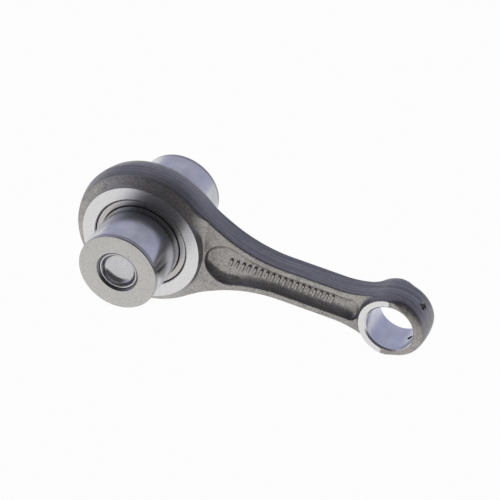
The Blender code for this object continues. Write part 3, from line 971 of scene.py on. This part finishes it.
def satin_face():
    """The crankpin's end faces: fine ground grain with a few dark specks."""
    n = Surface("pin_end_face")
    grain = n.noise(n.place, 2600.0, detail=3.0, roughness=0.65)
    mottle = n.noise(n.place, 700.0)
    specks = n.noise(n.place, 900.0, detail=0.0)
    colour = n.mix(n.spread(grain, 0.3, 0.7), (0.44, 0.425, 0.405), (0.62, 0.61, 0.59))
    colour = n.mix(n.spread(mottle, 0.5, 0.75, 0.0, 0.25), colour, (0.36, 0.34, 0.32))
    colour = n.mix(n.spread(specks, 0.78, 0.82, 0.0, 0.5), colour, (0.16, 0.15, 0.14))
    n.set(
        Base_Color=colour,
        Metallic=1.0,
        Roughness=n.spread(grain, 0.3, 0.7, 0.36, 0.46),
        Normal=n.bump(grain, 0.03, 0.4),
    )
    return n.material


def plain_steel(name, colour, roughness, grain_scale):
    """Pressed, plated or dark steel with a fine irregular skin."""
    n = Surface(name)
    grain = n.noise(n.place, grain_scale, detail=3.0, roughness=0.6)
    cloud = n.noise(n.place, 180.0)
    n.set(
        Base_Color=n.mix(n.spread(grain, 0.3, 0.7), shaded(colour, 0.75), colour),
        Metallic=1.0,
        Roughness=n.math("ADD", roughness, n.spread(cloud, 0.3, 0.7, -0.03, 0.04)),
        Normal=n.bump(grain, 0.008, 0.3),
    )
    return n.material


# ---------------------------------------------------------------- stage


def make_floor():
    """A floor that shines evenly. In reflections it is dimmer far away towards the camera's side."""
    shape = bmesh.new()
    bmesh.ops.create_circle(shape, cap_ends=True, segments=FLOOR_SIDES, radius=FLOOR_RADIUS)
    mesh = mesh_from_shape("floor", shape)
    floor = bpy.data.objects.new("floor", mesh)
    bpy.context.scene.collection.objects.link(floor)
    floor.location.z = (FLOOR_Z - FLOOR_GAP) * MM
    n = Surface("floor_white")
    away = n.spread(n.vector("DOT_PRODUCT", n.place, FLOOR_DARK_SIDE), *FLOOR_FADE)
    reflected = n.math("SUBTRACT", 1.0, n.camera_ray())
    n.set(
        Base_Color=(0.0, 0.0, 0.0),
        Roughness=1.0,
        Specular_IOR_Level=0.0,
        Emission_Color=WHITE,
        Emission_Strength=n.spread(n.math("MULTIPLY", away, reflected), 0.0, 1.0, *FLOOR_BRIGHTNESS),
    )
    mesh.materials.append(n.material)


def make_world():
    """A pale lavender studio, dark towards the camera's side. The camera itself sees white."""
    world = bpy.data.worlds.new("studio")
    world.use_nodes = True
    bpy.context.scene.world = world
    n = Nodes(world.node_tree)
    direction = n.coords.outputs["Generated"]
    ramp = n.tree.nodes.new("ShaderNodeValToRGB")
    n.put(ramp.inputs[0], n.split(direction)[2])
    elements = ramp.color_ramp.elements
    while len(elements) < len(SKY):
        elements.new(0.5)
    for element, (position, colour) in zip(elements, SKY):
        element.position = position
        element.color = (*colour, 1.0)
    dark = n.spread(n.vector("DOT_PRODUCT", direction, DARK_SIDE), *DARK_SIDE_FADE)
    sky = n.mix(dark, ramp.outputs["Color"], DARK_SKY)
    n.put(n.tree.nodes["Background"].inputs["Color"], n.mix(n.camera_ray(), sky, WHITE))


def make_softbox():
    data = bpy.data.lights.new("softbox", "AREA")
    data.shape = "RECTANGLE"
    data.size, data.size_y = SOFTBOX_SIZE
    data.energy = SOFTBOX_POWER
    data.color = SOFTBOX_COLOUR
    light = bpy.data.objects.new("softbox", data)
    bpy.context.scene.collection.objects.link(light)
    light.location = SOFTBOX_PLACE
    light.rotation_euler = (-light.location).to_track_quat("-Z", "Y").to_euler()


def make_camera():
    data = bpy.data.cameras.new("camera")
    data.lens = CAMERA_LENS
    data.sensor_width = CAMERA_SENSOR
    data.clip_start, data.clip_end = 0.1, 20.0
    camera = bpy.data.objects.new("camera", data)
    bpy.context.scene.collection.objects.link(camera)
    forward = Vector(CAMERA_FORWARD).normalized()
    up = Vector(CAMERA_RIGHT).cross(forward).normalized()
    right = forward.cross(up)
    rotation = Matrix((right, up, -forward)).transposed().to_4x4()
    x, y, z = CAMERA_PLACE
    camera.matrix_world = Matrix.Translation(Vector((x + AXIS_X, y, z)) * MM) @ rotation
    bpy.context.scene.camera = camera


def make_pieces():
    forged = forged_steel()
    make_rod(
        forged,
        turned_steel(
            "turned_big_face", 0.0, (0.76, 0.75, 0.755), roughness=0.26, anisotropy=0.6, ring_scale=5200.0
        ),
        turned_steel(
            "milled_small_face", CENTRE_DISTANCE, (0.80, 0.79, 0.79),
            roughness=0.30, anisotropy=0.3, ring_scale=4200.0,
        ),
        ground_steel("honed_big_bore", (0.50, 0.50, 0.54), roughness=0.25, anisotropy=0.3),
        ground_steel("honed_small_bore", (0.55, 0.565, 0.66), roughness=0.24, anisotropy=0.2),
    )
    make_bars(forged)
    make_crankpin(
        ground_steel("ground_pin", (0.53, 0.535, 0.58), roughness=0.17, anisotropy=0.6),
        satin_face(),
        plain_steel("pin_bore", (0.20, 0.20, 0.21), roughness=0.35, grain_scale=2200.0),
        ground_steel("pin_lead_in", (0.35, 0.345, 0.37), roughness=0.28, anisotropy=0.4),
    )
    cup = plain_steel("drawn_cup", (0.62, 0.61, 0.63), roughness=0.24, grain_scale=2600.0)
    make_plug("plug_front", -1, cup)
    make_plug("plug_back", 1, cup)
    make_cage(plain_steel("plated_cage", (0.56, 0.545, 0.53), roughness=0.28, grain_scale=2400.0))
    make_rollers(ground_steel("bearing_roller", (0.62, 0.63, 0.66), roughness=0.12, anisotropy=0.3))


make_pieces()
make_floor()
make_world()
make_softbox()
make_camera()
bpy.context.scene.view_settings.view_transform = "Standard"
